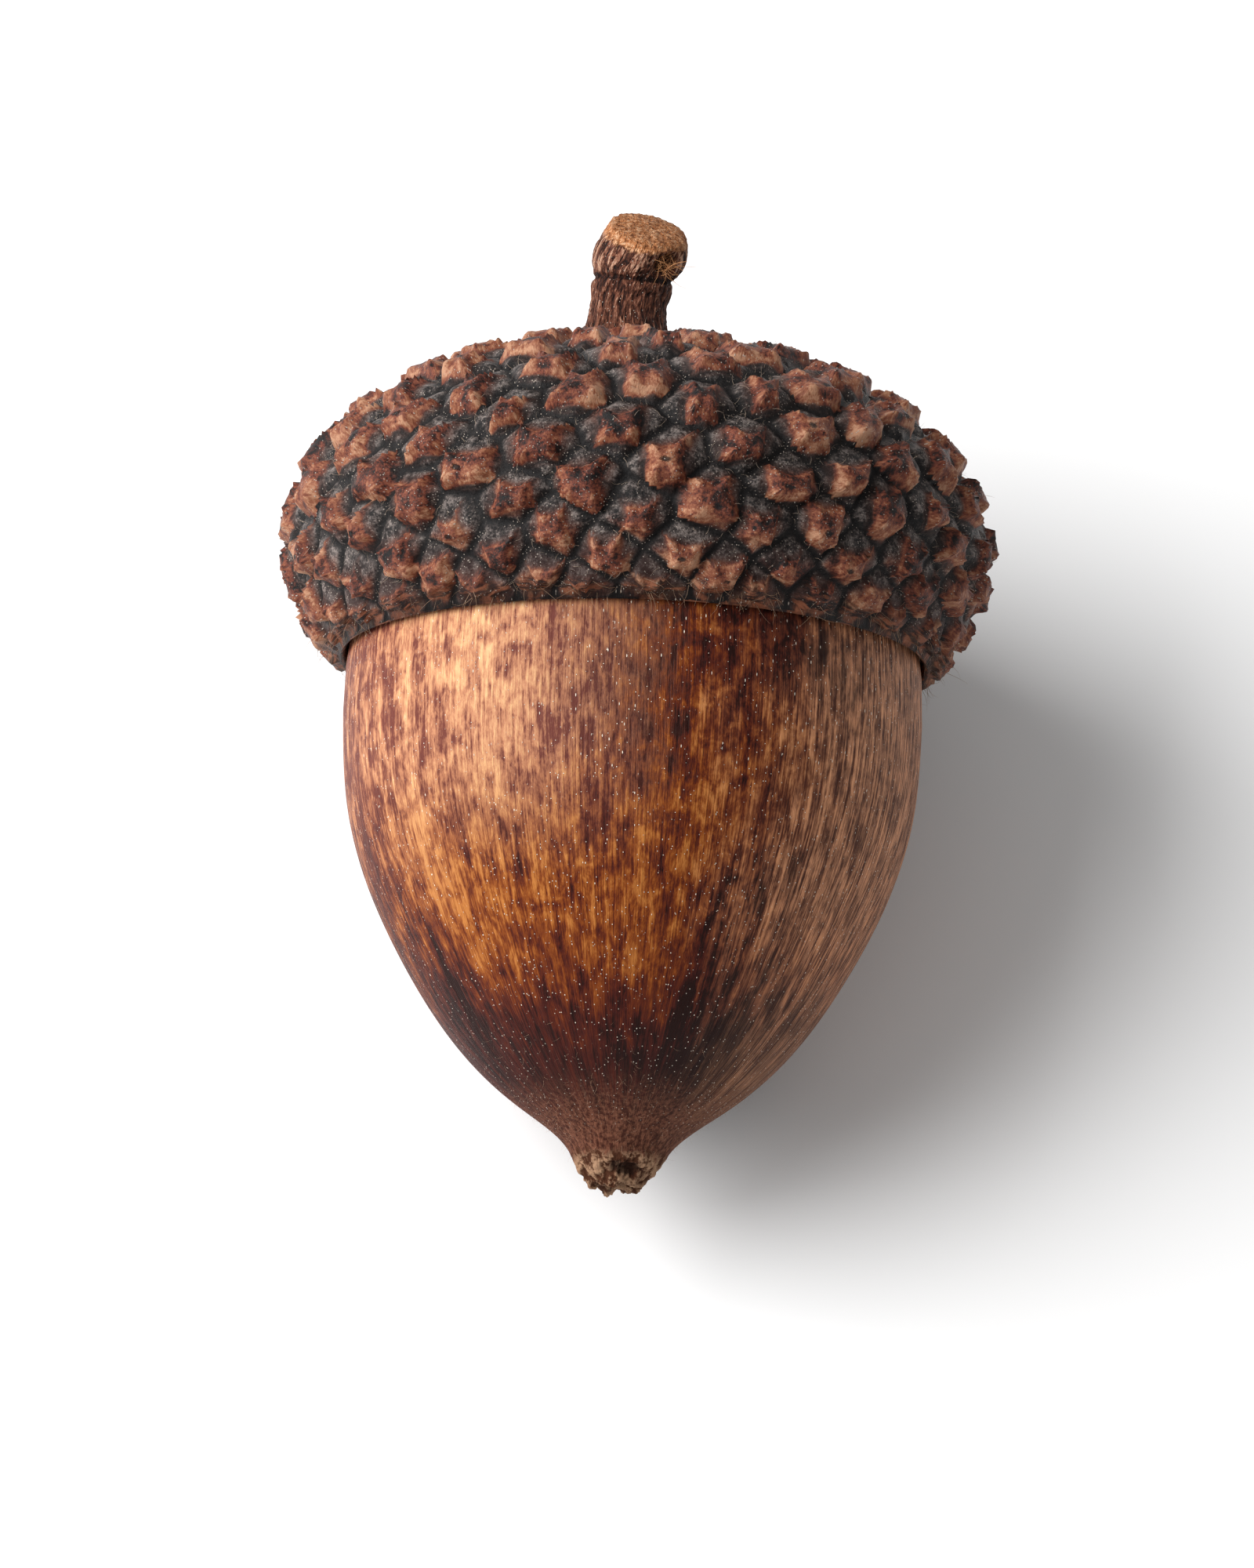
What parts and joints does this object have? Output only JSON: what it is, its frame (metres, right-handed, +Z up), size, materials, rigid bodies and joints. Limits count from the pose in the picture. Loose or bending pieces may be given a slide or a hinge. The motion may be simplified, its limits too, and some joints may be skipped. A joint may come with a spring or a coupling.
{
  "type": "acorn",
  "caption": "Ripe acorn in its scaly cap with a short stub of stalk, lying on its side.",
  "frame": {"origin": "middle of the acorn's footprint, on the surface it lies on", "axes": "+Z up; +Y from the nut's tip towards the stalk, along the acorn's length; +X across it, to the right of someone who looks from the tip towards the stalk"},
  "size_m": [0.025, 0.0342, 0.0242],
  "materials": {
    "nut": "satin shell, streaked amber and dark brown",
    "cap": "matt, charcoal felt with red-brown knobs",
    "stalk": "matt bark with a paler cut end"
  },
  "bodies": {
    "root": {"nut": "nut", "cap": "cap", "stalk": "stalk"}
  },
  "joints": []
}
